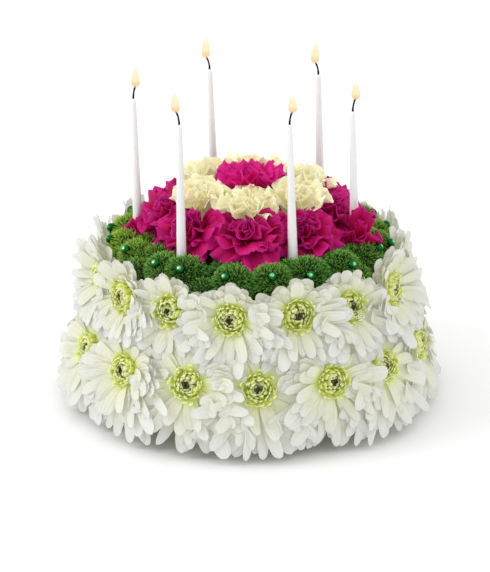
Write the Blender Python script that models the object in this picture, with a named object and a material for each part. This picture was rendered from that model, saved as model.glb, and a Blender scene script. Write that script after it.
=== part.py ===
"""A round birthday cake made of cut flowers, with six burnt taper candles.

A drum of flower foam with a domed top carries everything. Two staggered rows of
chrysanthemums cover its side, a ring of green button flowers sits on its shoulder,
and carnations cover the dome: an outer ring of pink ones, a ring of cream ones and
one pink one in the middle. The candles stand where the pink carnations meet the ring.

Every flower is a closed solid that fills its own cell of space. The walls of a cell
are planes halfway to the neighbouring flowers, so no two flowers meet.

Metres, +Z up, origin at the centre of the flat underside, front towards -Y.
An azimuth is an angle round the cake in degrees, from the front towards +X.
"""

import math

import bmesh
import bpy
from mathutils import Vector

# Clearance between two solids that touch in the real cake
GAP = 0.0003

# Foam drum with a domed top: the dome falls with the square of the radius
CORE_RADIUS = 0.082
SHOULDER_Z = 0.0977
DOME_TOP_Z = 0.117
DOME_FALL = 4.8
CORE_CHAMFER = 0.003
CORE_SIDES = 48
DOME_RINGS = 4

# Chrysanthemums: how far a flower's petals start from the drum, and how far they spread
MUMS_PER_ROW = 15
PETAL_LOBES = 9
LOBE_NOTCH = 0.80
CALYX_RADIUS = 0.0085
UPPER_ROW = {"z": 0.087, "phase": -7.5, "reach": 0.021, "petal": 0.037, "flare": 0.004}
LOWER_ROW = {"z": 0.047, "phase": 2.5, "reach": 0.027, "petal": 0.045, "flare": 0.016}
CROWN_RISE = 0.009
DISC_RISE = 0.002
LOWEST_PETAL_Z = 0.0015
HIGHEST_PETAL_Z = 0.112

# Carnations
PINK_RING = {"count": 9, "radius": 0.047, "phase": -1.0, "height": 0.035, "petal": 0.031}
CREAM_RING = {"count": 6, "radius": 0.027, "phase": -3.0, "height": 0.038, "petal": 0.024}
CENTRE_CARNATION = {"radius": 0, "height": 0.0415, "petal": 0.021}
FRILLS = 8
FRILL_DEPTH = 0.07

# Ring of green button flowers. Its inner wall leans out from upright, and its
# underside rises out from level, both by an angle in degrees
BUTTONS = 20
BUTTON_PHASE = 9
RING_INNER = 0.066
RING_OUTER = 0.093
RING_LEAN = 36
RING_UNDERSIDE = 38
RING_BOTTOM_Z = SHOULDER_Z + GAP
RING_TOP_Z = 0.116
RING_FOOT = 0.081
STEPS_PER_BUTTON = 3
ARCH_STEPS = 6
VALLEY_DEPTH = 0.005

# Candles: where the foot of each stands and where its top leans to, both as (x, y)
CANDLES = (
    ((-0.0723, -0.0040), (-0.0745, -0.0022)),
    ((-0.0430, -0.0585), (-0.0441, -0.0584)),
    ((0.0263, -0.0622), (0.0232, -0.0570)),
    ((0.0660, -0.0270), (0.0630, -0.0269)),
    ((0.0465, 0.0570), (0.0441, 0.0594)),
    ((-0.0240, 0.0690), (-0.0273, 0.0722)),
)
CANDLE_TOP_Z = 0.1995
CANDLE_BASE_RADIUS = 0.0034
CANDLE_TOP_RADIUS = 0.0017
CANDLE_NECK = 0.0025
CANDLE_NECK_RADIUS = 0.0009
CANDLE_SIDES = 8
HOLE_SIDES = 12
CANDLE_CLEARANCE = 0.0012
HIGHEST_PINK_Z = 0.141
WICK_RADIUS = 0.0006
WICK_LENGTH = 0.0085
WICK_STEPS = 4
WICK_SIDES = 6
WICK_CURL = 0.0022
WICK_AZIMUTHS = (60, -100, 80, 100, -90, -80)

# Colours are linear RGB
COLOURS = {
    "foam": (0.045, 0.11, 0.03),
    "white_petal": (0.78, 0.79, 0.70),
    "pink_petal": (0.44, 0.012, 0.10),
    "cream_petal": (0.74, 0.65, 0.38),
    "green_button": (0.07, 0.17, 0.03),
    "candle_wax": (0.82, 0.80, 0.79),
    "burnt_wick": (0.010, 0.009, 0.008),
}
ROUGHNESS = {"foam": 0.9, "candle_wax": 0.35, "burnt_wick": 0.9}
PETAL_ROUGHNESS = 0.55


def wobble(index, amount):
    """A small repeatable irregularity between -amount and amount."""
    return amount * math.sin(2.4 * index + 0.7)


def outward(azimuth):
    """Level unit vector from the cake's axis towards an azimuth."""
    angle = math.radians(azimuth)
    return Vector((math.sin(angle), -math.cos(angle), 0))


def make_material(name):
    material = bpy.data.materials.new(name)
    material.use_nodes = True
    shader = material.node_tree.nodes["Principled BSDF"]
    shader.inputs["Base Color"].default_value = (*COLOURS[name], 1)
    shader.inputs["Roughness"].default_value = ROUGHNESS.get(name, PETAL_ROUGHNESS)
    shader.inputs["Metallic"].default_value = 0
    return material


def add_object(name, mesh, material):
    """Puts a finished mesh into the scene, with its faces turned out."""
    bmesh.ops.recalc_face_normals(mesh, faces=mesh.faces)
    data = bpy.data.meshes.new(name)
    mesh.to_mesh(data)
    mesh.free()
    data.materials.append(material)
    solid = bpy.data.objects.new(name, data)
    bpy.context.scene.collection.objects.link(solid)
    return solid


def add_rings(name, rings, material, tip=None, smooth=True):
    """Closed solid through rings of points: a fan under the first and a fan on the last."""
    mesh = bmesh.new()
    loops = [[mesh.verts.new(point) for point in ring] for ring in rings]
    count = len(loops[0])
    for low, high in zip(loops, loops[1:]):
        for i in range(count):
            j = (i + 1) % count
            mesh.faces.new((low[i], low[j], high[j], high[i]))
    foot_vert = mesh.verts.new(sum(rings[0], Vector()) / count)
    tip_vert = mesh.verts.new(tip or sum(rings[-1], Vector()) / count)
    for i in range(count):
        j = (i + 1) % count
        mesh.faces.new((foot_vert, loops[0][j], loops[0][i]))
        mesh.faces.new((tip_vert, loops[-1][i], loops[-1][j]))
    bmesh.ops.triangulate(mesh, faces=mesh.faces)
    solid = add_object(name, mesh, material)
    if smooth:
        solid.data.shade_smooth()
        solid.data.set_sharp_from_angle(angle=math.radians(35))
    return solid


def circle(radius, z, sides):
    """Points of a level circle round the cake's axis."""
    turn = 360 / sides
    return [outward(turn * i) * radius + Vector((0, 0, z)) for i in range(sides)]


class Head:
    """A flower's axis, its two cross directions and the cell that it has to stay in."""

    def __init__(self, name, foot, axis, shape, middle):
        self.name = name
        self.foot = foot
        self.axis = axis.normalized()
        self.shape = shape
        self.side = self.axis.cross(Vector((0, 0, 1)))
        if self.side.length < 1e-6:
            self.side = Vector((1, 0, 0))
        self.side.normalize()
        self.up = self.side.cross(self.axis)
        self.centre = foot + self.axis * middle
        self.walls = []

    def add_wall(self, point, normal):
        """The cell ends at the plane through point, on the side that normal points to."""
        self.walls.append((point, normal.normalized()))

    def keep_from(self, other):
        """A wall halfway to another flower's head."""
        between = other.centre - self.centre
        self.add_wall(self.centre + between / 2, between)

    def limit(self, height, direction):
        """How far the cell goes from the axis at a height, no more than the petals' spread."""
        start = self.foot + self.axis * height
        most = self.shape["petal"]
        for point, normal in self.walls:
            facing = normal.dot(direction)
            if facing > 1e-6:
                most = min(most, (normal.dot(point - start) - GAP / 2) / facing)
        return most

    def ring(self, steps, height_at, reach_at):
        """A ring of points: height by direction, and reach by step and limit."""
        points = []
        for i in range(steps):
            angle = math.tau * i / steps
            direction = self.side * math.sin(angle) + self.up * math.cos(angle)
            height = height_at(direction)
            reach = reach_at(i, self.limit(height, direction))
            points.append(self.foot + self.axis * height + direction * reach)
        return points


def separate(heads):
    """Gives each flower a wall towards every flower near it."""
    for head in heads:
        for other in heads:
            if other is not head and (other.centre - head.centre).length < 0.075:
                head.keep_from(other)


def make_core(material):
    """Drum with a chamfered underside, a flat shoulder and a dome for the carnations."""
    dome_radius = math.sqrt((DOME_TOP_Z - SHOULDER_Z) / DOME_FALL)
    profile = [(CORE_RADIUS - CORE_CHAMFER, 0), (CORE_RADIUS, CORE_CHAMFER), (CORE_RADIUS, SHOULDER_Z)]
    for step in range(DOME_RINGS):
        radius = dome_radius * (1 - step / DOME_RINGS)
        profile.append((radius, DOME_TOP_Z - DOME_FALL * radius**2))
    rings = [circle(radius, z, CORE_SIDES) for radius, z in profile]
    add_rings("foam_core", rings, material, tip=Vector((0, 0, DOME_TOP_Z)))


def mum_heads(label, row):
    """The heads of one row of chrysanthemums, facing out from the drum."""
    heads = []
    for k in range(MUMS_PER_ROW):
        azimuth = row["phase"] + 360 * k / MUMS_PER_ROW + wobble(k + len(label), 1.6)
        axis = outward(azimuth)
        foot = axis * (CORE_RADIUS + GAP) + Vector((0, 0, row["z"] + wobble(3 * k, 0.0015)))
        head = Head(f"mum_{label}_{k + 1:02d}", foot, axis, row, row["reach"] + DISC_RISE)
        head.add_wall(Vector((0, 0, LOWEST_PETAL_Z)), Vector((0, 0, -1)))
        heads.append(head)
    return heads


def roof_over(head):
    """Walls that keep an upper chrysanthemum below the green ring and its leaning underside."""
    head.add_wall(Vector((0, 0, HIGHEST_PETAL_Z)), Vector((0, 0, 1)))
    slope = math.radians(RING_UNDERSIDE)
    ring_foot = head.axis * RING_FOOT + Vector((0, 0, RING_BOTTOM_Z - 2 * GAP))
    head.add_wall(ring_foot, Vector((0, 0, math.cos(slope))) - head.axis * math.sin(slope))


def make_mum(head, material):
    """Calyx, a scalloped dish of petals that flares at its lower edge, a crown and a sunk disc."""
    steps = 2 * PETAL_LOBES
    row = head.shape
    reach = row["reach"]

    def level(height):
        return lambda direction: height

    def rim_height(direction):
        return reach + row["flare"] * max(0, -direction.z) ** 2

    def calyx(radius):
        return lambda i, limit: min(radius, limit)

    def petals(share, notch):
        return lambda i, limit: limit * share * (notch if i % 2 else 1 - abs(wobble(i, 0.05)))

    rings = [
        head.ring(steps, level(0), calyx(CALYX_RADIUS)),
        head.ring(steps, level(reach * 0.5), calyx(CALYX_RADIUS * 1.15)),
        head.ring(steps, rim_height, petals(1, LOBE_NOTCH)),
        head.ring(steps, level(reach + CROWN_RISE), petals(0.66, 0.86)),
        head.ring(steps, level(reach + DISC_RISE + 0.002), petals(0.38, 1)),
    ]
    add_rings(head.name, rings, material, tip=head.foot + head.axis * (reach + DISC_RISE), smooth=False)


def dome_head(name, azimuth, shape):
    """A carnation's head, standing square on the foam dome."""
    radius = shape["radius"]
    axis = outward(azimuth) * (2 * DOME_FALL * radius) + Vector((0, 0, 1))
    axis.normalize()
    foot = outward(azimuth) * radius + Vector((0, 0, DOME_TOP_Z - DOME_FALL * radius**2))
    return Head(name, foot + axis * GAP, axis, shape, shape["height"] * 0.55)


def carnation_heads(label, ring):
    heads = []
    for k in range(ring["count"]):
        azimuth = ring["phase"] + 360 * k / ring["count"] + wobble(k + len(label), 2.0)
        heads.append(dome_head(f"carnation_{label}_{k + 1:02d}", azimuth, ring))
    return heads


def candle_ends(k):
    """The centres of a candle's foot and of its top."""
    (foot_x, foot_y), (top_x, top_y) = CANDLES[k]
    foot = Vector((foot_x, foot_y, SHOULDER_Z + GAP))
    return foot, Vector((top_x, top_y, CANDLE_TOP_Z + wobble(5 * k, 0.0008)))


def fence_in(head):
    """Walls that keep a pink carnation inside the green ring's cone and off the candles."""
    azimuth = math.degrees(math.atan2(head.foot.x, -head.foot.y))
    lean = math.radians(RING_LEAN)
    for turn in range(-35, 36, 7):
        direction = outward(azimuth + turn)
        edge = direction * (RING_INNER - 2 * GAP) + Vector((0, 0, RING_BOTTOM_Z))
        head.add_wall(edge, direction * math.cos(lean) - Vector((0, 0, math.sin(lean))))
    for k in range(len(CANDLES)):
        foot, top = candle_ends(k)
        share = (HIGHEST_PINK_Z - foot.z) / (top.z - foot.z)
        for candle in (foot, foot.lerp(top, share)):
            level = Vector((candle.x, candle.y, 0))
            towards = level - Vector((head.centre.x, head.centre.y, 0))
            if towards.length < 0.045:
                clearance = towards.normalized() * (CANDLE_BASE_RADIUS + CANDLE_CLEARANCE)
                head.add_wall(level - clearance, towards)


def make_carnation(head, material):
    """Goblet of a flower with a frilled rim and a frilled dome."""
    steps = 2 * FRILLS
    height = head.shape["height"]

    def level(share):
        return lambda direction: share * height

    def frill(share, phase):
        def reach(i, limit):
            fold = FRILL_DEPTH if (i + phase) % 2 else 0
            return limit * share * (1 - fold - abs(wobble(i, 0.03)))

        return reach

    levels = ((0, 0.60, 0), (0.38, 1.0, 0), (0.70, 0.90, 1), (0.92, 0.56, 0))
    rings = [head.ring(steps, level(up), frill(share, phase)) for up, share, phase in levels]
    add_rings(head.name, rings, material, tip=head.foot + head.axis * height, smooth=False)


def button_section(sink):
    """The green ring's outline as (radius, z), over its lobe from the outer foot to the inner one."""
    lean = math.tan(math.radians(RING_LEAN))
    half = (RING_OUTER - RING_INNER) / 2 - sink
    middle = (RING_OUTER + RING_INNER) / 2
    low = RING_BOTTOM_Z + (RING_OUTER - RING_FOOT) * math.tan(math.radians(RING_UNDERSIDE))
    rise = RING_TOP_Z - sink - low
    outline = [(RING_FOOT, RING_BOTTOM_Z)]
    for step in range(ARCH_STEPS + 1):
        angle = math.pi * step / ARCH_STEPS
        z = low + rise * math.sin(angle)
        inner_limit = RING_INNER + (z - RING_BOTTOM_Z) * lean
        outline.append((max(middle + half * math.cos(angle), inner_limit + sink / 2), z))
    outline.append((RING_INNER, RING_BOTTOM_Z))
    return outline


def make_button_ring(material):
    """Ring of domed lobes, one for each button flower, on the drum's shoulder."""
    steps = BUTTONS * STEPS_PER_BUTTON
    mesh = bmesh.new()
    loops = []
    for i in range(steps):
        crest = abs(math.cos(math.pi * i / STEPS_PER_BUTTON))
        direction = outward(360 * i / steps + BUTTON_PHASE)
        section = button_section(VALLEY_DEPTH * (1 - crest))
        loops.append([mesh.verts.new(direction * radius + Vector((0, 0, z))) for radius, z in section])
    for a, b in zip(loops, loops[1:] + loops[:1]):
        for i in range(len(a)):
            j = (i + 1) % len(a)
            mesh.faces.new((a[i], a[j], b[j], b[i]))
    return add_object("button_ring", mesh, material)


def cut_candle_holes(ring):
    """Clears the green ring round each candle."""
    for k in range(len(CANDLES)):
        radius = CANDLE_BASE_RADIUS + CANDLE_CLEARANCE
        foot, _ = candle_ends(k)
        centre = Vector((foot.x, foot.y, 0))
        low, high = RING_BOTTOM_Z - 0.01, RING_TOP_Z + 0.01
        rings = [[point + centre for point in circle(radius, z, HOLE_SIDES)] for z in (low, high)]
        cutter = add_rings(f"candle_hole_{k + 1}", rings, ring.data.materials[0])
        cutter.hide_render = True
        cutter.display_type = "WIRE"
        cut = ring.modifiers.new(f"hole_{k + 1}", "BOOLEAN")
        cut.operation = "DIFFERENCE"
        cut.object = cutter


def make_candle(k, wax, char):
    """Taper candle on the drum's shoulder, and the curled burnt wick on top of it."""
    foot, top = candle_ends(k)
    length = (top - foot).length
    axis = (top - foot).normalized()

    def level(height, radius, sides):
        return [foot + axis * height + point for point in circle(radius, 0, sides)]

    body = [
        level(0, CANDLE_BASE_RADIUS, CANDLE_SIDES),
        level(length - CANDLE_NECK, CANDLE_TOP_RADIUS, CANDLE_SIDES),
        level(length, CANDLE_NECK_RADIUS, CANDLE_SIDES),
    ]
    add_rings(f"candle_{k + 1}", body, wax)

    curl = outward(WICK_AZIMUTHS[k])
    wick = []
    for step in range(WICK_STEPS + 1):
        share = step / WICK_STEPS
        bend = curl * (WICK_CURL * share**2)
        height = length + GAP + WICK_LENGTH * share
        wick.append([point + bend for point in level(height, WICK_RADIUS, WICK_SIDES)])
    add_rings(f"wick_{k + 1}", wick, char)


def main():
    for obj in list(bpy.data.objects):
        bpy.data.objects.remove(obj, do_unlink=True)
    materials = {name: make_material(name) for name in COLOURS}

    make_core(materials["foam"])

    upper = mum_heads("upper", UPPER_ROW)
    lower = mum_heads("lower", LOWER_ROW)
    separate(upper + lower)
    for head in upper:
        roof_over(head)
    for head in upper + lower:
        make_mum(head, materials["white_petal"])

    pinks = carnation_heads("pink", PINK_RING)
    creams = carnation_heads("cream", CREAM_RING)
    centre = dome_head("carnation_centre", 0, CENTRE_CARNATION)
    separate([*pinks, *creams, centre])
    for head in pinks:
        fence_in(head)
    for head in pinks:
        make_carnation(head, materials["pink_petal"])
    for head in creams:
        make_carnation(head, materials["cream_petal"])
    make_carnation(centre, materials["pink_petal"])

    ring = make_button_ring(materials["green_button"])
    cut_candle_holes(ring)

    for k in range(len(CANDLES)):
        make_candle(k, materials["candle_wax"], materials["burnt_wick"])


main()
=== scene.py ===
"""Looks of a birthday cake made of cut flowers: petals, florets, pins, candles and flames.

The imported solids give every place. Each flower is grown from its own solid's foot, and
its petals lift, shorten or drop out where they would reach too far into a neighbour.
"""

import math

import bpy
import numpy as np
from bpy.props import FloatProperty, FloatVectorProperty, IntProperty, PointerProperty
from bpy.types import Operator, Panel, PropertyGroup
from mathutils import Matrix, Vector


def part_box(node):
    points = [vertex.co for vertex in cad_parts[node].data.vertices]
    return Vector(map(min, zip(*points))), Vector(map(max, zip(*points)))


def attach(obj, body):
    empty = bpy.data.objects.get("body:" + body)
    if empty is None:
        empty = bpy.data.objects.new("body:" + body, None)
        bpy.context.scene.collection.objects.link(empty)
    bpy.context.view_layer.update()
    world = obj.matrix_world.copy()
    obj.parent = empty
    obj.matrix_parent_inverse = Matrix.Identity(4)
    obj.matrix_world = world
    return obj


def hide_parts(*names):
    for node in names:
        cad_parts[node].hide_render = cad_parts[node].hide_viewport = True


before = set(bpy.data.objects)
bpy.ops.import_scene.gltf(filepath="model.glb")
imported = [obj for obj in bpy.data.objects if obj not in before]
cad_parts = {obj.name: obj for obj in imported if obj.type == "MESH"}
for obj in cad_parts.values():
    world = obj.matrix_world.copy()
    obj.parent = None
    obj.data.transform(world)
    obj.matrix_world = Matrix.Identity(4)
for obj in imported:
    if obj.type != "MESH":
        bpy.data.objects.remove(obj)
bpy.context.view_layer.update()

bl_info = {
    "name": "Flower Birthday Cake",
    "version": (1, 0, 0),
    "blender": (4, 5, 0),
    "location": "View3D > Sidebar > Flower Cake",
    "description": "Grows the flowers, pins, candles and flames of a birthday cake on its solids",
    "category": "Object",
}

MM = 0.001
DEGREE = math.radians(1)
GOLDEN_ANGLE = math.pi * (3 - math.sqrt(5))
UP = np.array([0, 0, 1.0])
RIM_ANGLE = 75 * DEGREE
VEINS = 11.0
VEIN_DEPTH = 0.12 * MM
PLEATS = 34.0
RAY_THICKNESS = 0.35 * MM
FLORET_THICKNESS = 0.5 * MM
FAN_THICKNESS = 0.3 * MM
FLOOR_CLEARANCE = 3.9 * MM
FOOT_DEPTH = 0.8 * MM
SEEDS = {
    "chrysanthemum": 100, "carnation": 500, "button": 7, "filler": 8, "bristle": 31, "pin": 77,
    "candle": 900, "flame": 1200,
}


def seeded(kind, place=0):
    """Random numbers that are the same every run and differ from piece to piece."""
    return np.random.default_rng(SEEDS[kind] + place)


# ---- shader expressions


def math_node(operation, swapped=False):
    """Makes the method that adds one Math node for a Python operator."""

    def method(term, other):
        pair = (other, term) if swapped else (term, other)
        return term.finish.node("ShaderNodeMath", {"operation": operation}, dict(enumerate(pair)))

    return method


class Term:
    """A shader socket that takes part in Python sums; each operator adds its Math node."""

    def __init__(self, finish, socket):
        self.finish = finish
        self.socket = socket

    __add__ = math_node("ADD")
    __radd__ = math_node("ADD", True)
    __sub__ = math_node("SUBTRACT")
    __rsub__ = math_node("SUBTRACT", True)
    __mul__ = math_node("MULTIPLY")
    __rmul__ = math_node("MULTIPLY", True)


class Finish:
    """A material under construction, with one Principled shader."""

    def __init__(self, name, **constants):
        self.material = bpy.data.materials.new(name)
        self.material.use_nodes = True
        self.tree = self.material.node_tree
        self.shader = self.tree.nodes["Principled BSDF"]
        self.set(**constants)

    def node(self, kind, settings=None, inputs=None, output=0):
        """Adds a node: its settings first, then the values or links of its sockets."""
        made = self.tree.nodes.new(kind)
        for key, value in (settings or {}).items():
            if key == "stops":
                self.fill_ramp(made.color_ramp, value)
            else:
                setattr(made, key, value)
        for key, value in (inputs or {}).items():
            self.feed(made.inputs[key], value)
        return Term(self, made.outputs[output])

    def feed(self, socket, value):
        if isinstance(value, Term):
            self.tree.links.new(value.socket, socket)
        else:
            socket.default_value = value

    def set(self, **sockets):
        """Feeds sockets of the shader, written with underscores, and gives the material."""
        for socket, value in sockets.items():
            self.feed(self.shader.inputs[socket.replace("_", " ")], value)
        return self.material

    @staticmethod
    def fill_ramp(ramp, stops):
        while len(ramp.elements) < len(stops):
            ramp.elements.new(0.5)
        for element, (position, colour) in zip(ramp.elements, stops):
            element.position = position
            element.color = (*colour, 1)

    def attributes(self, *names):
        return [self.node("ShaderNodeAttribute", {"attribute_name": name}, output="Fac") for name in names]

    def ramp(self, factor, *stops):
        return self.node("ShaderNodeValToRGB", {"stops": stops}, {"Fac": factor}, "Color")

    def mix(self, factor, first, second):
        first, second = (c if isinstance(c, Term) else (*c, 1) for c in (first, second))
        return self.node("ShaderNodeMix", {"data_type": "RGBA"}, {0: factor, 6: first, 7: second}, 2)

    def noise(self, scale, detail=2.0):
        place = self.node("ShaderNodeTexCoord", output="Object")
        return self.node("ShaderNodeTexNoise", {}, {"Vector": place, "Scale": scale, "Detail": detail})

    def cosine(self, value):
        return self.node("ShaderNodeMath", {"operation": "COSINE"}, {0: value})

    def bump(self, height, distance, strength=1.0):
        inputs = {"Height": height, "Distance": distance, "Strength": strength}
        return self.node("ShaderNodeBump", {}, inputs, "Normal")


def scaled(colour, factor):
    return tuple(min(1.0, c * factor) for c in colour)


def ray_petal_finish(s):
    """White petal: green-yellow at its foot, cream in its lower third, white beyond; it also glows faintly in
    its own colour, which is painted light that lifts the shade between petals.
    """
    # Emission_Strength makes the petal glow in its own colour: painted light.
    f = Finish("white_petal", Specular_IOR_Level=0.3, Subsurface_Weight=0.35, Subsurface_Scale=0.002,
               Subsurface_Radius=(1.0, 1.0, 0.9), Emission_Strength=0.19)
    along, tone, across = f.attributes("along", "tone", "across")
    colour = f.ramp(along + tone * 0.10 - 0.05, (0.0, s.lime), (0.14, (0.58, 0.61, 0.33)),
                    (0.26, (0.59, 0.60, 0.44)), (0.44, s.cream), (0.80, s.white))
    streak = f.noise(900.0, 1.0)
    colour = f.mix(tone * 0.20 + streak * 0.06, colour, s.cream)
    veins = f.bump(f.cosine(across * VEINS), VEIN_DEPTH, 0.5)
    return f.set(Base_Color=colour, Emission_Color=colour, Normal=veins, Roughness=0.42 + streak * 0.2)


def floret_finish(s):
    """Lime floret at the flower's heart, pale at its lip and a little darker at its foot, which is painted
    shade among the florets; the middle florets are dark, partly the heart's own green and partly painted shade
    in its hollow; all glow faintly, which is painted light.
    """
    # Emission_Strength makes the florets glow in their own colour: painted light.
    f = Finish("lime_floret", Roughness=0.5, Specular_IOR_Level=0.2, Subsurface_Weight=0.6,
               Subsurface_Scale=0.002, Subsurface_Radius=(1.0, 1.0, 0.4), Emission_Strength=0.08)
    along, tone, pale = f.attributes("along", "tone", "pale")
    colour = f.ramp(along, (0.0, scaled(s.lime, 0.85)), (0.65, s.lime), (1.0, s.lip))
    colour = f.mix(tone * 0.2, colour, scaled(s.lime, 0.75))
    # The innermost florets take the eye colour: the heart's dark green deepened as painted shade in its
    # hollow.
    colour = f.mix(pale * 0.9 + 0.1, s.eye, colour)
    return f.set(Base_Color=colour, Emission_Color=colour)


def mottled_finish(name, first, second, roughness, scale, detail=2.0, depth=0.0):
    """Two colours mingled by noise of a scale and detail, with a grain of a depth."""
    f = Finish(name, Roughness=roughness)
    grain = f.noise(scale, detail)
    if depth:
        f.set(Normal=f.bump(grain, depth))
    return f.set(Base_Color=f.mix(grain, first, second))


def calyx_finish(name, colour):
    return mottled_finish(name, scaled(colour, 0.7), scaled(colour, 1.3), 0.6, 400.0)


def frilled_petal_finish(name, deep, body, edge, glow):
    """Carnation petal: darker deep in the fold, which is painted shade, and paler towards its toothed edge and
    on the outer petals, which is painted light; glow is light through it.
    """
    f = Finish(name, Specular_IOR_Level=0.1, Subsurface_Weight=0.3, Subsurface_Scale=0.002,
               Subsurface_Radius=(1.0, 0.7, 0.5), Emission_Strength=glow)
    along, tone, outer, across = f.attributes("along", "tone", "outer", "across")
    veins = f.noise(700.0, 3.0)
    pleat = f.cosine(across * PLEATS + veins * 5.0)
    # Dark towards the petal's foot inside the flower: painted shade; pale at the edge and on the outer petals:
    # painted light.
    colour = f.ramp(along, (0.0, scaled(deep, 0.8)), (0.45, deep), (0.8, body), (1.0, edge))
    colour = f.mix(outer * 0.55, colour, edge)
    colour = f.mix(tone * 0.35, colour, scaled(deep, 0.8))
    colour = f.mix(pleat * 0.07 + 0.07, colour, edge)
    pleats = f.bump(pleat * along, VEIN_DEPTH, 0.6)
    return f.set(Base_Color=colour, Emission_Color=colour, Normal=pleats, Roughness=0.45 + veins * 0.1)


def bristle_finish(s):
    """Green bristle: nearly black at its foot, which is painted shade between the bristles, and light at the
    tip, partly its own paler green and partly painted light.
    """
    f = Finish("green_spike", Roughness=0.5, Specular_IOR_Level=0.15, Subsurface_Weight=0.1,
               Subsurface_Scale=0.001)
    along, tone, ripe = f.attributes("along", "tone", "ripe")
    # The riper colour, yellower and brighter, is partly ripeness and partly painted light on the ring's left
    # side, where the key light falls.
    fresh, riper = (
        f.ramp(along, *((place, scaled(colour, level)) for place, level in zip((0.0, 0.5, 1.0), levels)))
        for colour, levels in ((s.green, (0.05, 0.6, 4.3)), (s.yellow, (0.1, 0.85, 1.65)))
    )
    return f.set(Base_Color=f.mix(tone * 0.5, f.mix(ripe, fresh, riper), scaled(s.green, 0.4)))


def pearl_finish(s):
    """Dark metallic bead, painted darker towards its back as shade and with a painted highlight at its crown.
    """
    f = Finish("green_pearl", Roughness=0.15, Metallic=0.9, Specular_IOR_Level=0.2)
    [along] = f.attributes("along")
    # Darkest towards the shank as painted shade; the crown colour near the front is a painted highlight.
    return f.set(Base_Color=f.ramp(
        along + f.noise(250.0) * 0.04 - 0.02,
        (0.0, scaled(s.pearl, 0.3)), (0.6, s.pearl), (0.93, scaled(s.pearl, 1.6)), (0.985, s.crown),
    ))


def wax_finish(s):
    """Smooth white wax, slightly cloudy."""
    f = Finish("white_wax", Subsurface_Weight=0.4, Subsurface_Scale=0.003, Subsurface_Radius=(1.0, 1.0, 1.0),
               Coat_Weight=0.15)
    cloud = f.noise(120.0)
    colour = f.mix(cloud * 0.5, s.wax, scaled(s.wax, 0.93))
    return f.set(Base_Color=colour, Roughness=0.3 + cloud * 0.15, Normal=f.bump(f.noise(300.0), 0.15 * MM))


def char_finish():
    """Burnt cotton, glowing faintly at the very tip."""
    f = Finish("burnt_cotton", Roughness=0.9, Specular_IOR_Level=0.1, Emission_Strength=1.5)
    [along] = f.attributes("along")
    grain = f.noise(3000.0)
    soot = f.mix(grain, (0.002, 0.002, 0.002), (0.010, 0.008, 0.007))
    glow = f.ramp(along, (0.0, (0, 0, 0)), (0.88, (0, 0, 0)), (1.0, (0.9, 0.12, 0.01)))
    return f.set(Base_Color=soot, Emission_Color=glow, Normal=f.bump(grain, 0.1 * MM))


def flame_finish(s):
    """Pale yellow flame with an orange skirt, clear at its foot and towards its tip."""
    f = Finish("candle_flame", Roughness=1.0, Specular_IOR_Level=0, Emission_Strength=1.0,
               Base_Color=(0, 0, 0, 1))
    [along] = f.attributes("along")
    glow = f.ramp(along, (0.0, s.skirt), (0.16, s.skirt), (0.36, s.flame), (0.75, s.flame),
                  (1.0, (1.0, 0.97, 0.85)))
    levels = ((0.0, 0.1), (0.18, 0.75), (0.45, 0.8), (0.75, 0.45), (1.0, 0.0))
    clear = f.ramp(along, *((place, (level,) * 3) for place, level in levels))
    return f.set(Emission_Color=glow, Alpha=clear)


def foam_finish():
    """Soaked flower foam: fine-grained and dark."""
    return mottled_finish("wet_foam", (0.012, 0.03, 0.008), (0.035, 0.075, 0.02), 0.85, 1800.0, 4.0, 0.3 * MM)


# ---- mesh building


def link(name, data):
    """A new object in the scene."""
    made = bpy.data.objects.new(name, data)
    bpy.context.scene.collection.objects.link(made)
    return made


class Pieces:
    """Gathers parts with their faces, attributes and material numbers into one mesh."""

    def __init__(self):
        self.points = []
        self.attributes = {}
        self.faces = []
        self.finishes = []
        self.count = 0

    def add(self, points, faces, finish=0, **attributes):
        """points is (n, 3); faces is a list of index arrays, each all quads or all triangles."""
        self.points.append(points)
        for array in faces:
            self.faces.append(array + self.count)
            self.finishes.append(np.full(len(array), finish))
        for key, values in attributes.items():
            self.attributes.setdefault(key, []).append(np.broadcast_to(values, len(points)))
        self.count += len(points)

    def make(self, name, slot, materials, node=None):
        """The finished piece: smooth shaded, riding on the cake, in place of its solid."""
        mesh = bpy.data.meshes.new(name)
        corners = np.concatenate([f.ravel() for f in self.faces])
        sizes = np.concatenate([np.full(len(f), f.shape[1]) for f in self.faces])
        starts = np.concatenate([[0], np.cumsum(sizes)[:-1]])
        mesh.vertices.add(self.count)
        mesh.vertices.foreach_set("co", np.concatenate(self.points).astype(np.float32).ravel())
        mesh.loops.add(len(corners))
        mesh.loops.foreach_set("vertex_index", corners.astype(np.int32))
        mesh.polygons.add(len(sizes))
        mesh.polygons.foreach_set("loop_start", starts.astype(np.int32))
        mesh.polygons.foreach_set("material_index", np.concatenate(self.finishes).astype(np.int32))
        mesh.update(calc_edges=True)
        mesh.validate()
        for key, parts in self.attributes.items():
            layer = mesh.attributes.new(key, "FLOAT", "POINT")
            layer.data.foreach_set("value", np.concatenate(parts).astype(np.float32))
        mesh.shade_smooth()
        mesh.set_sharp_from_angle(angle=RIM_ANGLE)
        for material in materials:
            mesh.materials.append(material)
        piece = link(name, mesh)
        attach(piece, "root")
        if node:
            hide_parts(node)


def blade_faces(rows, columns):
    """Faces of one closed blade whose rings go over its top and back along its underside."""
    around = 2 * columns - 2
    quads, triangles = [], []
    for a in range(0, (rows - 1) * around, around):
        for i in range(around):
            j = (i + 1) % around
            quads.append((a + i, a + around + i, a + around + j, a + j))
    for start, turned in ((0, False), ((rows - 1) * around, True)):
        for c in range(columns - 1):
            under = [start + (around - k) % around for k in (c + 1, c)]
            if c == columns - 2:
                under[0] = start + c + 1
            corners = list(dict.fromkeys([start + c, start + c + 1, *under]))
            if turned:
                corners.reverse()
            (quads if len(corners) == 4 else triangles).append(corners)
    return np.array(quads), np.array(triangles)


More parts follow.
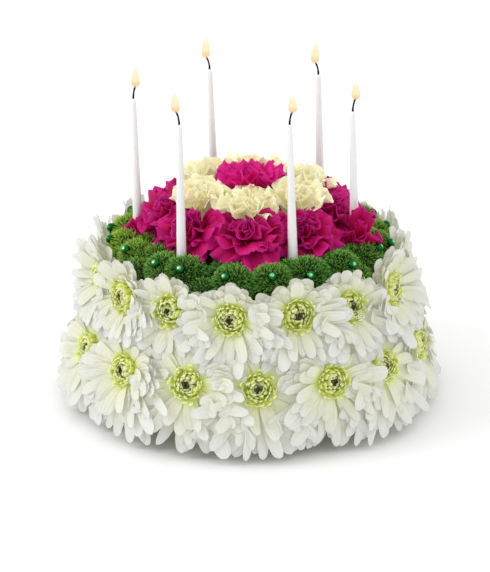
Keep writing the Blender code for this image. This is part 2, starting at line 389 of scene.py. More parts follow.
def add_blades(pieces, top, normals, thickness, finish, rng, **attributes):
    """Closed blades over grids of points: top is (blades, rows, columns, 3), and normals fits it."""
    blades, rows, columns = top.shape[:3]
    across = np.linspace(-1, 1, columns)
    normals = np.broadcast_to(normals, top.shape)[:, :, 1:-1]
    depth = thickness * (1 - 0.5 * np.abs(across[1:-1]))[:, None]
    under = (top[:, :, 1:-1] - normals * depth)[:, :, ::-1]
    rings = np.concatenate([top, under], axis=2)
    attributes["tone"] = rng.random(blades)[:, None, None]
    attributes["across"] = np.concatenate([across, across[-2:0:-1]])
    around = rings.shape[2]
    offsets = np.arange(blades)[:, None, None] * (rows * around)
    faces = [(kind + offsets).reshape(-1, kind.shape[1]) for kind in blade_faces(rows, columns)]
    spread = {key: np.broadcast_to(values, rings.shape[:3]).reshape(-1) for key, values in attributes.items()}
    pieces.add(rings.reshape(-1, 3), faces, finish, **spread)


def cross_directions(axis):
    """Level side direction and the direction up the flower's face, for a flower's axis."""
    axis = axis.normalized()
    side = axis.cross(Vector(UP))
    if side.length < 1e-4:
        side = Vector((1, 0, 0))
    side.normalize()
    return side, side.cross(axis)


def add_lathe(pieces, centres, radii, sides, finish=0, axis=UP, **attributes):
    """Closed tube through rings round the given centres; its ends close to points."""
    side, up = cross_directions(Vector(axis))
    angles = np.linspace(0, math.tau, sides, endpoint=False)
    circle = np.cos(angles)[:, None] * np.array(side) - np.sin(angles)[:, None] * np.array(up)
    rings = centres[:, None] + radii[:, None, None] * circle
    count = len(radii)
    points = np.concatenate([rings.reshape(-1, 3), centres[[0, -1]]])
    index = np.arange(sides)
    after = (index + 1) % sides
    quads = np.concatenate([
        np.stack([r + index, r + after, r + sides + after, r + sides + index], 1)
        for r in range(0, (count - 1) * sides, sides)
    ])
    low, high = np.full(sides, count * sides), np.full(sides, count * sides + 1)
    last = (count - 1) * sides
    caps = np.concatenate([np.stack([low, after, index], 1), np.stack([high, last + index, last + after], 1)])
    spread = {
        key: np.append(np.repeat(values, sides), np.asarray(values)[[0, -1]]) if np.ndim(values) else values
        for key, values in attributes.items()
    }
    pieces.add(points, [quads, caps], finish, **spread)


def add_stalk(pieces, start, way, profile, radius, sides, finish, axis, **attributes):
    """Lathed part of a flower; profile pairs how far along it each ring is with how wide it is."""
    places, swells = np.array(profile).T
    add_lathe(pieces, start + way * places[:, None], swells * radius, sides, finish, axis,
              tone=0.5, across=0, **attributes)


# ---- where things stand


def solids(prefix):
    return sorted(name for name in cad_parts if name.startswith(prefix))


def node_points(name):
    """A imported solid's points, in metres."""
    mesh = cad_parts[name].data
    flat = np.empty(len(mesh.vertices) * 3)
    mesh.vertices.foreach_get("co", flat)
    return flat.reshape(-1, 3)


def end_centre(points, axis, depth):
    """Centre of the points within a depth of a solid's near end along an axis."""
    along = points @ np.array(axis)
    return points[along < along.min() + depth].mean(axis=0)


def ends(name, foot_depth=0.3 * MM, top_depth=0.3 * MM):
    """Centres of the lowest and the highest part of an upright solid."""
    points = node_points(name)
    return end_centre(points, UP, foot_depth), end_centre(points, -UP, top_depth)


class Stance:
    """Where a flower stands: its foot, its axis, its two cross directions and its height."""

    def __init__(self, name, pole_z):
        """pole_z is the height on the cake's axis that the flower points away from, or None for level."""
        points = node_points(name)
        middle = points.mean(axis=0)
        axis = Vector((middle[0], middle[1], 0 if pole_z is None else middle[2] - pole_z)).normalized()
        foot = end_centre(points, axis, FOOT_DEPTH)
        if pole_z is None:
            axis = Vector((foot[0], foot[1], 0)).normalized()
        self.name = name
        self.axis = axis
        self.foot = Vector(foot)
        self.side, self.up = cross_directions(axis)
        self.height = float((points @ np.array(axis)).max() - foot @ np.array(axis))
        self.azimuth = math.atan2(foot[0], -foot[1])

    def nod(self, sideways, upwards):
        """Tips the flower's face by two small angles, in radians."""
        self.axis = (self.axis + self.side * sideways + self.up * upwards).normalized()
        self.side, self.up = cross_directions(self.axis)

    def at(self, height):
        return self.foot + self.axis * height

    def directions(self, phi):
        """Unit directions away from the axis; phi 0 points up the flower's face."""
        return np.sin(phi)[..., None] * np.array(self.side) + np.cos(phi)[..., None] * np.array(self.up)


class Walls:
    """The planes that a flower's petal tips keep behind, each with its own allowance."""

    def __init__(self):
        self.planes = []

    def add(self, point, normal, low, high):
        """Tips may pass the plane by low to high millimetres, which differs from petal to petal."""
        self.planes.append((np.array(point), np.array(Vector(normal).normalized()), low * MM, high * MM))

    def overrun(self, tips, luck):
        """How far each tip is past its allowance; luck is one number from 0 to 1 per petal."""
        worst = np.full(tips.shape[:-1], -1.0)
        for point, normal, low, high in self.planes:
            worst = np.maximum(worst, (tips - point) @ normal - (low + (high - low) * luck))
        return worst


# ---- petals

# A petal starts base_r from the flower's axis and base_h above its origin, and rises from
# the angle rise0 at its foot to rise1 at its tip; phi is the way that it points.
SPINE_KEYS = ("base_r", "base_h", "length", "rise0", "rise1")
FOOT_LIFT, TIP_LIFT = 0.45, 0.9
LIFT_STEPS = 14
TRIMS = 4


def spine(rows, petals, lift):
    """Distance from the axis, height and rise angle along petals; a lift raises the tip most."""
    base_r, base_h, length, rise0, rise1 = (petals[key][..., None] for key in SPINE_KEYS)
    rise = rise0 + (rise1 - rise0) * rows + np.asarray(lift)[..., None] * (FOOT_LIFT + TIP_LIFT * rows)
    middle = (rise[..., 1:] + rise[..., :-1]) / 2
    start = np.zeros((*middle.shape[:-1], 1))
    run, climb = (
        np.concatenate([start, np.cumsum(part(middle) * np.diff(rows), -1)], -1) for part in (np.cos, np.sin)
    )
    return base_r + length * run, base_h + length * climb, rise


def settle(stance, origin, walls, rows, petals, luck, most_lift, shortest, whole, spare, slim):
    """Lifts each petal as little as keeps its tip within the walls and trims what still reaches out.

    A petal keeps at least the shortest share of its length, and its width shrinks by the slim power of
    that share. Returns the lifts of the petals that fit within the spare; petals keeps only those. Most of
    the petals that keep less than the whole share of their length are left out too.
    """
    lifts = np.linspace(0, most_lift, LIFT_STEPS)
    towards = stance.directions(petals["phi"])[:, None]

    def overrun(tried):
        wide = {key: petals[key][:, None] for key in SPINE_KEYS}
        radius, height, _ = spine(rows, wide, tried)
        tips = origin + towards * radius[..., -1:] + np.array(stance.axis) * height[..., -1:]
        return walls.overrun(tips, luck[:, None])

    over = overrun(np.broadcast_to(lifts, (len(luck), LIFT_STEPS)))
    fits = over <= 0
    lift = lifts[np.where(fits.any(1), fits.argmax(1), over.argmin(1))]
    free_length = petals["length"]
    for _ in range(TRIMS):
        excess = np.maximum(overrun(lift[:, None])[:, 0], 0)
        petals["length"] = np.maximum(petals["length"] - excess, free_length * shortest)
    petals["width"] = petals["width"] * (petals["length"] / free_length) ** slim
    kept = (overrun(lift[:, None])[:, 0] < spare) & ((petals["length"] > free_length * whole) | (luck < 0.2))
    for key in petals:
        petals[key] = petals[key][kept]
    return lift[kept]


def middle_lines(stance, origin, rows, petals, lift, phi):
    """Points along petals' middles, the directions across them and the ways that they face."""
    radius, height, rise = spine(rows, petals, lift)
    out, axis = stance.directions(phi), np.array(stance.axis)
    line = origin + out * radius[..., None] + axis * height[..., None]
    face = np.cos(rise)[..., None] * axis - np.sin(rise)[..., None] * out
    return line, stance.directions(phi + math.pi / 2), face


def widened(line, side, face, across, height):
    """Grid of points over petals, from the middle lines out to each side and up from the face."""
    return line[:, :, None] + side[:, :, None] * across[..., None] + face[:, :, None] * height[..., None]


RAY_ROWS = np.array([0, 0.16, 0.36, 0.58, 0.78, 0.91, 0.975, 1.0])
RAY_WIDTH = np.array([0.44, 0.60, 0.82, 0.97, 1.0, 0.90, 0.68, 0.36])
RAY_POINT = np.array([0, 0, 0, 0.06, 0.18, 0.28, 0.34, 0.24])
RAY_COLUMNS = np.linspace(-1, 1, 5)
RAY_FOLD = np.array([0.055, 0.0, 0.035, 0.0, 0.055])
RAY_NOTCH = np.array([-0.4, 0.25, -0.1, 0.25, -0.4])


def ray_petals(pieces, stance, origin, petals, lift, rng):
    """Long blunt petals with two shallow grooves and a notched tip."""
    phi = petals["phi"][:, None] + petals["bend"][:, None] * RAY_ROWS**2
    line, sideways, normal = middle_lines(stance, origin, RAY_ROWS, petals, lift, phi)
    roll = (petals["roll"][:, None] * (0.3 + 0.7 * RAY_ROWS))[..., None]
    side = sideways * np.cos(roll) + normal * np.sin(roll)
    face = normal * np.cos(roll) - sideways * np.sin(roll)
    half = (petals["width"][:, None] * (RAY_WIDTH - RAY_POINT * petals["point"][:, None]) / 2)[..., None]
    cup = RAY_FOLD * half * 2 * petals["cup"][:, None, None]
    top = widened(line, side, face, half * RAY_COLUMNS, cup)
    notch = RAY_NOTCH * (0.4 + rng.random((len(phi), 1)))
    top[:, -1] += (line[:, -1] - line[:, -2])[:, None] * notch[..., None]
    along = RAY_ROWS[:, None] * (petals["length"] / petals["length"].max())[:, None, None] ** 0.5
    add_blades(pieces, top, face[:, :, None], RAY_THICKNESS, 0, rng, along=along, pale=0.0)


# Rings of florets from the middle outwards: place and length as shares of the heart's
# radius, number of florets, and the degrees that they rise at the foot and at the tip.
FLORET_RINGS = (
    (0.36, 0.28, 8, 104, 150),
    (0.58, 0.42, 13, 100, 156),
    (0.80, 0.50, 18, 96, 150),
    (0.98, 0.54, 22, 90, 128),
    (1.10, 0.58, 25, 78, 84),
)
FLORET_ROWS = np.array([0, 0.35, 0.65, 0.86, 0.96, 1.0])
FLORET_WIDTH = np.array([0.5, 0.62, 0.86, 1.05, 0.95, 0.55])
FLORET_COLUMNS = np.array([-1.0, 0, 1.0])
FLORET_FOLD = np.array([1.0, 1.0, 1.0, 0.6, 0.2, 0.0])[:, None] * np.array([0.20, 0.0, 0.20])


def lime_florets(pieces, stance, origin, s, rng):
    """Short spoon-tipped florets in rings round a heart painted dark, partly its own green and partly painted
    shade, the inner ones bowing over it.
    """
    rings = []
    # pale is 0 in the innermost ring, which takes the dark eye colour as painted shade, and grows outwards.
    for ring, (place, reach, number, start, stop) in enumerate(FLORET_RINGS):
        phi = (np.arange(number) + 0.5 * ring) * math.tau / number
        rings.append({
            "phi": phi + rng.normal(0, 0.12, number),
            "base_r": place * s.heart * 0.86 * (1 + rng.normal(0, 0.05, number)),
            "base_h": np.full(number, s.dome * (0.75 - 0.5 * place**2)),
            "length": s.heart * reach * rng.uniform(0.75, 1.2, number),
            "rise0": np.radians(start + rng.normal(0, 6, number)),
            "rise1": np.radians(stop + rng.normal(0, 16, number)),
            "width": s.heart * (0.17 + 0.10 * place) * rng.uniform(0.85, 1.15, number),
            "pale": np.full(number, min(1, ring / 1.6)),
        })
    florets = {key: np.concatenate([ring[key] for ring in rings]) for key in rings[0]}
    line, side, face = middle_lines(stance, origin, FLORET_ROWS, florets, 0.0, florets["phi"][:, None])
    half = (florets["width"][:, None] * FLORET_WIDTH / 2)[..., None]
    top = widened(line, side, face, half * FLORET_COLUMNS, half * FLORET_FOLD * 2)
    top[:, -1, 1] += (line[:, -1] - line[:, -2]) * 0.7
    along, pale = FLORET_ROWS[:, None], florets["pale"][:, None, None]
    add_blades(pieces, top, face[:, :, None], FLORET_THICKNESS, 1, rng, along=along, pale=pale)


def chrysanthemum(stance, s, walls, overlaps, rng, lower):
    """One double flower: layers of white rays round a lime heart, on a green calyx."""
    origin = np.array(stance.at(stance.height - s.crown)) - s.sag * lower * UP
    stance.nod(rng.normal(0, s.nod), (s.upturn_below if lower else s.upturn) + rng.normal(0, s.nod))
    hanging = s.fringe if lower else 0
    count = s.rays + hanging

    def jitter(spread):
        return rng.normal(0, spread, count)

    # A petal's layer goes from 0 at the heart to 1 outside; the hanging fringe is outermost.
    layer = np.concatenate([(np.arange(s.rays) + 0.5) / s.rays, np.ones(hanging)])
    spiral = np.arange(s.rays) * GOLDEN_ANGLE
    phi = np.concatenate([spiral, math.pi + np.linspace(-1, 1, hanging)]) + jitter(0.10)
    out = stance.directions(phi)
    upwards, downwards = np.clip(out[:, 2], 0, 1), np.clip(-out[:, 2], 0, 1)
    longer = downwards**0.4 * (0.42 if lower else 0.42 * 0.4) * layer
    drape = -s.tuck * upwards if lower else s.drape * downwards + s.stand * upwards
    perk = (s.perk_below if lower else s.perk) * (1 - max(0, math.cos(stance.azimuth))) * (0.25 + out[:, 1])
    turned = s.pinwheel * stance.directions(phi + math.pi / 2)[:, 1]
    over = sum(s.overlap * sign * np.clip(out @ way, 0, 1) ** 2 for way, sign in overlaps)
    reach = s.inner_ray + (s.outer_ray - s.inner_ray) * layer**0.6
    petals = dict(
        phi=phi,
        base_r=s.heart * (0.84 + 0.12 * layer),
        base_h=s.dome * (0.25 - 1.1 * layer),
        length=reach * (1 + longer) * (1 - s.shorten * upwards * lower) * (1 + jitter(0.08)),
        width=(0.78 + 0.22 * layer**0.7) * s.ray_width * (1 - 0.05 * downwards) * (1 + jitter(0.16)),
        rise0=np.radians(27 - 21 * layer + jitter(5)) + drape + perk + over * 0.6,
        rise1=np.radians(4 - 18 * layer + jitter(8)) + drape + perk * 0.7 + over,
        bend=jitter(0.06),
        roll=turned + jitter(0.18),
        cup=rng.uniform(0.2, 1.6, count),
        point=rng.uniform(0, 0.9, count) + 0.4 * downwards,
    )
    lift = settle(stance, origin, walls, RAY_ROWS, petals, rng.random(count), s.most_lift,
                  shortest=0.56 - 0.14 * upwards, whole=0.86 * (1 - upwards), spare=7 * MM, slim=0.2)
    pieces = Pieces()
    ray_petals(pieces, stance, origin, petals, lift, rng)
    lime_florets(pieces, stance, origin, s, rng)
    foot, axis = np.array(stance.foot), np.array(stance.axis)
    calyx = ((0, 0.35), (0.25, 0.45), (0.55, 0.9))
    base = ((0.55, 0.9), (0.8, 1.0), (1.0, 0.7))
    heart = ((-0.5, 0.8), (0.0, 0.92), (0.45, 0.75), (0.8, 0.34))
    # The top of the dome takes the dark eye colour: painted shade in the middle of the heart.
    pale = [0.8, 0.8, 0.7, 0.0]
    add_stalk(pieces, foot, origin - foot, calyx, s.heart, 12, 2, axis, along=0.5, pale=0)
    add_stalk(pieces, foot, origin - foot, base, s.heart, 12, 1, axis, along=0.3, pale=0.7)
    add_stalk(pieces, origin, axis * s.dome, heart, s.heart, 16, 1, axis, along=0.3, pale=pale)
    return pieces


FAN_ROWS = np.array([0, 0.3, 0.52, 0.70, 0.84, 0.94, 1.0])
FAN_WIDTH = np.array([0.10, 0.36, 0.66, 0.86, 0.97, 1.0, 1.0])
FAN_COLUMNS = np.linspace(-1, 1, 21)
FAN_TEETH = np.where(np.arange(len(FAN_COLUMNS)) % 2, 1.0, -1.0)
FAN_MOST_LIFT = 50 * DEGREE


def frilled_fans(pieces, stance, origin, petals, lift, rng, keep_out):
    """Fan-shaped petals, waved and finely toothed at the edge, that wrap round the flower's axis."""
    fans = {key: values[:, None, None] for key, values in petals.items()}
    radius, height, slope = (part[..., None] for part in spine(FAN_ROWS, petals, lift))
    count = len(petals["phi"])
    start = rng.uniform(0, math.tau, (count, 1, 1))
    fade = FAN_ROWS[:, None]
    crumple = np.sin(fans["waves"] * FAN_COLUMNS * math.pi + start + 1.2 * fade)
    second = np.sin(fans["waves"] * 2.3 * FAN_COLUMNS * math.pi + 2 * start)
    ruffle = fans["ruffle"] * (crumple * fade**1.3 + 0.16 * second * fade**4)
    rounding = -0.17 * np.abs(FAN_COLUMNS)**2.4 * fade**2 + 0.010 * FAN_TEETH * fade**14
    rounding = rounding + 0.006 * rng.normal(size=(count, 1, len(FAN_COLUMNS))) * fade**8
    stretch = fans["length"] * rounding
    reach = radius + stretch * np.cos(slope) - ruffle * np.sin(slope)
    stand = height + stretch * np.sin(slope) + ruffle * np.cos(slope)
    wrap = np.maximum(radius, fans["width"] * 0.36)
    turn = FAN_COLUMNS * (fans["width"] * FAN_WIDTH[:, None] / 2 / wrap)
    reach = reach + (wrap - radius) * (1 - np.cos(turn))
    out = stance.directions(fans["phi"] + turn + fans["bend"] * fade**2)
    axis = np.array(stance.axis)
    top = keep_out(origin + out * reach[..., None] + axis * stand[..., None])
    normals = np.cos(slope)[..., None] * axis - np.sin(slope)[..., None] * out
    add_blades(pieces, top, normals, FAN_THICKNESS, 0, rng, along=fade, outer=fans["layer"] ** 2)


def carnation(stance, s, habit, walls, rng, keep_out):
    """One double flower: frilled fans in a spiral out of a green calyx."""
    spread, droop, overhang = habit
    mouth = s.neck * stance.height
    origin = np.array(stance.at(mouth))
    count = s.fans

    def jitter(amount):
        return rng.normal(0, amount, count)

    layer = (np.arange(count) + 0.5) / count
    phi = np.arange(count) * GOLDEN_ANGLE + jitter(0.15)
    outwards = np.clip(stance.directions(phi) @ np.array([*Vector(stance.foot).xy.normalized(), 0]), 0, 1)
    reach = (stance.height - mouth) * (0.80 + 0.30 * layer * spread)
    petals = dict(
        phi=phi,
        base_r=s.mouth * (0.15 + 0.85 * layer),
        base_h=np.zeros(count),
        length=reach * (1 + overhang * outwards * layer + jitter(0.04)),
        width=s.fan_width * (0.66 + 0.5 * layer * spread) * (1 + jitter(0.10)),
        rise0=np.radians(92 - 16 * layer + jitter(3)),
        rise1=np.radians(88 - droop * layer**1.2 + jitter(8)),
        bend=jitter(0.12),
        waves=rng.uniform(1.5, 2.9, count),
        ruffle=s.ruffle * rng.uniform(0.7, 1.3, count),
        layer=layer,
    )
    lift = settle(stance, origin, walls, FAN_ROWS, petals, rng.random(count), FAN_MOST_LIFT,
                  shortest=0.6, whole=0, spare=1 * MM, slim=0.7)
    pieces = Pieces()
    frilled_fans(pieces, stance, origin, petals, lift, rng, keep_out)
    foot = np.array(stance.foot)
    calyx = ((0, 0.7), (0.3, 1.0), (0.8, 1.1), (1.15, 0.6))
    add_stalk(pieces, foot, origin - foot, calyx, s.mouth, 12, 1, stance.axis, along=0.3, outer=0.5)
    return pieces


# ---- sizes and colours


def number(name, default, least, most, text):
    return IntProperty(name=name, description=text, default=default, min=least, max=most)


def amount(name, default, most, text, **unit):
    return FloatProperty(name=name, description=text, default=default, min=0, max=most, **unit)


def distance(name, default, text):
    return FloatProperty(name=name, description=text, default=default, unit="LENGTH", subtype="DISTANCE")


def angle(name, default, text):
    return FloatProperty(name=name, description=text, default=default, subtype="ANGLE")


def paint(name, default, text):
    return FloatVectorProperty(name=name, description=text, default=default, min=0, max=1, subtype="COLOR")


class ChrysanthemumSettings(PropertyGroup):
    rays: number("Rays", 92, 20, 200, "White petals in a flower")
    fringe: number("Fringe", 14, 0, 60, "More petals that hang from a flower of the lower row")
    inner_ray: distance("Inner ray", 17 * MM, "Length of the shortest white petals")
    outer_ray: distance("Outer ray", 30 * MM, "Length of the longest white petals")
    ray_width: distance("Ray width", 9.8 * MM, "Widest part of the outer petals")
    heart: distance("Heart", 10 * MM, "Radius of the lime florets at the heart")
    dome: distance("Dome", 4 * MM, "Height of the cushion that the petals grow from")
    crown: distance("Crown", 17 * MM, "How far the outer petals start behind the flower's front")
    sag: distance("Sag", 1.5 * MM, "How far the lower row's hearts hang below their solids' middles")
    drape: angle("Drape", 20 * DEGREE, "How far the upper row's hanging petals stand out over the lower")
    stand: angle("Stand", 16 * DEGREE, "How far the upper row's upward petals stand forward")
    perk: angle("Perk", 16 * DEGREE, "How far the side flowers' back petals rise and the front ones fall")
    perk_below: angle("Perk below", 2 * DEGREE, "The same for the side flowers of the lower row")
    pinwheel: angle("Pinwheel", 0.5, "How far the side flowers' petals turn their faces forward")
    ridge: distance("Ridge", 6 * MM, "How far the front flowers' petals stay below the green ring's top")
    ridge_rise: distance("Ridge rise", 5.5 * MM, "How much higher the petals reach at the sides and back")
    gable: angle("Gable", 24 * DEGREE, "Slope of the outline of the petals on either side of a flower")
    skirt: amount("Skirt", 0.3, 1, "Slope at which petals spread past a neighbour as they hang")
    skirt_top: distance("Skirt top", 12 * MM, "Height above the hearts where petals begin to spread")
    tuck: angle("Tuck", 16 * DEGREE, "How far the lower row's petals bend back under the upper")
    overlap: angle("Overlap", 10 * DEGREE, "How far petals lie above or below a neighbour's")
    most_lift: angle("Most lift", 5 * DEGREE, "How far a petal may lift over its neighbours")
    shorten: amount("Shorten", 0.3, 0.8, "Share that the lower row's upward petals lose")
    upturn: angle("Upturn", 0.16, "How far the upper flowers face up")
    upturn_below: angle("Upturn below", 0.24, "How far the lower flowers face up")
    nod: angle("Nod", 0.06, "How unevenly the flowers face")
    white: paint("White", (0.565, 0.572, 0.552), "Petals")
    cream: paint("Cream", (0.565, 0.565, 0.45), "Lower part of the petals")
    # Nearly black: the heart's own dark green deepened as painted shade in its hollow.
    eye: paint("Eye", (0.012, 0.022, 0.004), "Middle of the heart")
    lime: paint("Lime", (0.58, 0.65, 0.11), "Florets at the heart")
    lip: paint("Lip", (0.80, 0.82, 0.46), "Tips of the florets at the heart")
    sepal: paint("Sepal", (0.10, 0.17, 0.05), "Calyx")


class CarnationSettings(PropertyGroup):
    fans: number("Fans", 27, 12, 80, "Frilled petals in a flower")
    mouth: distance("Mouth", 4.5 * MM, "Radius of the calyx mouth")
    neck: amount("Neck", 0.2, 0.6, "Share of a flower's height below the petals")
    fan_width: distance("Fan width", 28 * MM, "Width of a petal at its edge")
    ruffle: distance("Ruffle", 3.0 * MM, "Depth of the waves at a petal's edge")
    collar: number("Collar", 9, 0, 20, "Petals in front of a side candle's foot")
    collar_height: distance("Collar height", 14 * MM, "Length of the petals in front of a side candle's foot")
    pink_top: distance("Pink top", 138 * MM, "Height of the outer pink flowers' tops")
    cream_top: distance("Cream top", 152 * MM, "Height of the cream flowers' tops")
    cream_tilt: amount("Cream tilt", 0.15, 1, "Slope of the cream flowers' tops, up to the back")
    # Painted shade: darker colour at the petals' feet, deep in the pink flowers.
    pink_shade: paint("Pink, deep", (0.25, 0.001, 0.011), "In the folds of the pink flowers")
    pink: paint("Pink", (0.46, 0.001, 0.044), "Pink flowers")
    pink_bright: paint("Pink, bright", (0.68, 0.003, 0.165), "Pink flower at the middle")
    # Painted light: paler colour at the pink petals' edges and on the outer petals.
    pink_lit_edge: paint("Pink, edge", (0.58, 0.010, 0.215), "Edges and outer petals of the pink flowers")
    # Painted shade: darker, yellower colour at the petals' feet, deep in the cream flowers.
    cream_shade: paint("Cream, deep", (0.75, 0.65, 0.25), "In the folds of the cream flowers")
    cream: paint("Cream", (0.76, 0.70, 0.38), "Cream flowers")
    # Painted light: paler colour at the cream petals' edges and on the outer petals.
    cream_lit_edge: paint("Cream, edge", (0.80, 0.77, 0.56), "Edges and outer petals of the cream flowers")
    sepal: paint("Sepal", (0.08, 0.15, 0.05), "Calyx")


class ButtonSettings(PropertyGroup):
    buttons: number("Buttons", 20, 6, 60, "Green flowers in the ring")
    button_radius: distance("Button radius", 13.6 * MM, "Size of a green flower out to its tips")
    spikes: number("Spikes", 1400, 50, 3000, "Bristles on one green flower")
    filler_radius: distance("Filler radius", 9 * MM, "Size of the small green flowers between the others")
    filler_spikes: number("Filler spikes", 420, 50, 3000, "Bristles on a small green flower")
    spike: distance("Spike", 3.6 * MM, "Length of a bristle")
    spike_width: distance("Spike width", 1.3 * MM, "Thickness of a bristle at its foot")
    pearl_radius: distance("Pearl radius", 3.0 * MM, "Radius of a pin's head")
    green: paint("Green", (0.080, 0.235, 0.042), "Green flowers")
    # Yellower, lighter colour of riper flowers, also standing as painted light on the ring's left side.
    yellow: paint("Yellow", (0.43, 0.73, 0.09), "Tips of the riper green flowers")
    pearl: paint("Pearl", (0.006, 0.082, 0.014), "Heads of the pins")
    # A painted highlight on the front of each pin's head.
    crown: paint("Crown", (0.24, 0.62, 0.28), "Highlight spot on a pin's head")


class CandleSettings(PropertyGroup):
    flame_height: distance("Flame height", 16 * MM, "Height of a flame")
    flame_width: distance("Flame width", 5.6 * MM, "Widest part of a flame")
    wax: paint("Wax", (0.74, 0.74, 0.74), "Candles")
    flame: paint("Flame", (0.97, 0.89, 0.57), "Body of a flame")
    skirt: paint("Skirt", (0.92, 0.60, 0.26), "Foot of a flame")


class StageSettings(PropertyGroup):
    floor: paint("Floor", (0.95, 0.95, 0.95), "Floor")
    sky: amount("Sky", 1.06, 5, "Strength of the even light")
    key: amount("Key", 8.0, 500, "Power of the main light", unit="POWER")
    fill: amount("Fill", 1.5, 500, "Power of the second light", unit="POWER")
    distance: distance("Distance", 1.5, "Level distance from the camera to the cake's axis")
    rise: distance("Rise", 0.629, "Height of the camera")
    pitch: angle("Pitch", 20.34 * DEGREE, "How far the camera looks down")
    lens: amount("Lens", 154.9, 1000, "Focal length in millimetres")
    aside: distance("Aside", -0.004, "How far the camera stands to the right of the cake's axis")


class CakeSettings(PropertyGroup):
    chrysanthemum: PointerProperty(type=ChrysanthemumSettings)
    carnation: PointerProperty(type=CarnationSettings)
    button: PointerProperty(type=ButtonSettings)
    candle: PointerProperty(type=CandleSettings)
    stage: PointerProperty(type=StageSettings)


# ---- operators


class FLOWERCAKE_OT_foam(Operator):
    """Gives the foam drum its finish"""

    bl_idname = "flowercake.foam"
    bl_label = "Foam"

    def execute(self, context):
        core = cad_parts["foam_core"]
        core.data.materials.clear()
        core.data.materials.append(foam_finish())
        return {"FINISHED"}


# Flowers further apart than this don't touch. The others are millimetres, low and high, that
# petal tips may pass a plane by: halfway to a neighbour, over a flower, or above the floor.
CHRYSANTHEMUM_REACH = 70 * MM
UNDER_UPPER_ROW, OVER_LOWER_ROW = (-6, 2), (10, 20)
OVER_NEIGHBOUR, UNDER_NEIGHBOUR = (6, 14), (0, 8)
OVER_GABLE, ABOVE_FLOOR = (-11, 3), (-2, 0)


def lies_over(number, rank):
    """Whether the first of two neighbours spreads its petals over the second, the same way every run."""
    first, second = sorted((number, rank))
    first_wins = np.random.default_rng(first * 100 + second).random() < 0.5
    return first_wins == (number == first)


class FLOWERCAKE_OT_chrysanthemums(Operator):
    """Grows the white chrysanthemums of both rows"""

    bl_idname = "flowercake.chrysanthemums"
    bl_label = "Chrysanthemums"

    def execute(self, context):
        s = context.scene.flower_cake.chrysanthemum
        finishes = [ray_petal_finish(s), floret_finish(s), calyx_finish("chrysanthemum_calyx", s.sepal)]
        stances = [Stance(name, None) for name in solids("mum_")]
        for place, stance in enumerate(stances):
            lower = "lower" in stance.name
            walls, overlaps = Walls(), []
            own = stance.at(stance.height * 0.5)
            for rank, other in enumerate(stances):
                gap = other.at(stance.height * 0.5) - own
                if other is stance or gap.length > CHRYSANTHEMUM_REACH:
                    continue
                point, normal = own + gap / 2, gap.normalized()
                if lower != ("lower" in other.name):
                    allowance = UNDER_UPPER_ROW if lower else OVER_LOWER_ROW
                else:
                    over = lies_over(place, rank)
                    allowance = OVER_NEIGHBOUR if over else UNDER_NEIGHBOUR
                    overlaps.append((np.array(normal), 1 if over else -1))
                    point.z += s.skirt_top
                    normal.z += s.skirt
                walls.add(point, normal, *allowance)
            walls.add(FLOOR_CLEARANCE * UP, -UP, *ABOVE_FLOOR)
            if not lower:
                self.add_gable(walls, stance, own, s)
            pieces = chrysanthemum(stance, s, walls, overlaps, seeded("chrysanthemum", place), lower)
            pieces.make(stance.name.replace("mum", "chrysanthemum"), "white_petal", finishes, stance.name)
        return {"FINISHED"}

    @staticmethod
    def add_gable(walls, stance, apex, s):
        """Two sloping walls over a flower, lowest at the front of the cake."""
        apex.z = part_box("button_ring")[1].z - s.ridge + s.ridge_rise * (1 - max(0, math.cos(stance.azimuth)))
        for way in (-1, 1):
            normal = stance.side * (way * math.sin(s.gable)) + Vector((0, 0, math.cos(s.gable)))
            walls.add(apex, normal, *OVER_GABLE)


def candle_lines():
    """Name, foot and top of each candle."""
    for name in solids("candle_"):
        yield name, *ends(name, foot_depth=0.5 * MM)


DENT_CLEARANCE = 4.4 * MM
DENT_REACH = 16 * MM
DENT_DEPTH = 0.93
FRONT = -45 * MM


def press_back(points):
    """The points of petals, pressed back behind the candles at the front of the cake."""
    moved = points.copy()
    for _, foot, top in candle_lines():
        if foot[1] >= FRONT:
            continue
        share = np.clip((moved[..., 2] - foot[2]) / (top[2] - foot[2]), 0, 1)[..., None]
        away = moved - (foot + (top - foot) * share)
        out = foot[:2] / np.linalg.norm(foot[:2])
        outward = away[..., 0] * out[0] + away[..., 1] * out[1]
        aside = np.abs(away[..., 1] * out[0] - away[..., 0] * out[1])
        allowed = np.maximum(aside - DENT_CLEARANCE, 0) * 1.1 - DENT_CLEARANCE
        excess = np.clip(outward - allowed, 0, None) * (aside < DENT_REACH)
        moved[..., :2] -= excess[..., None] * DENT_DEPTH * out
    return moved


# For each kind of carnation: how widely its outer petals spread, the degrees that they
# droop, and how much longer they grow towards the cake's edge.
HABITS = {"outer": (1.25, 145, 0.09), "cream": (1.0, 84, 0), "centre": (0.85, 110, 0)}
# Millimetres that one kind's petals may pass the middle of the gap to another kind.
OVERHANGS = {("outer", "cream"): (-6, -2), ("cream", "centre"): (-4, -1)}
EVEN_OVERHANG = (1, 6)
OVER_TOP = (-4, 2)
UNEVEN_NOD = 0.05
CARNATION_REACH = 62 * MM
POLE_DEPTH = 85 * MM
COLLAR_POLE_DEPTH = 250 * MM
# Collars of petals stand by candles less than SIDE_CANDLE in front of or behind the cake's axis;
# further forward they are taller and turn further inwards.
SIDE_CANDLE = 35 * MM
COLLAR_TALLER = 18 * MM
COLLAR_INWARD = 27 * MM
COLLAR_SINK = 3 * MM


def kind(stance):
    return next((word for word in ("cream", "centre") if word in stance.name), "outer")


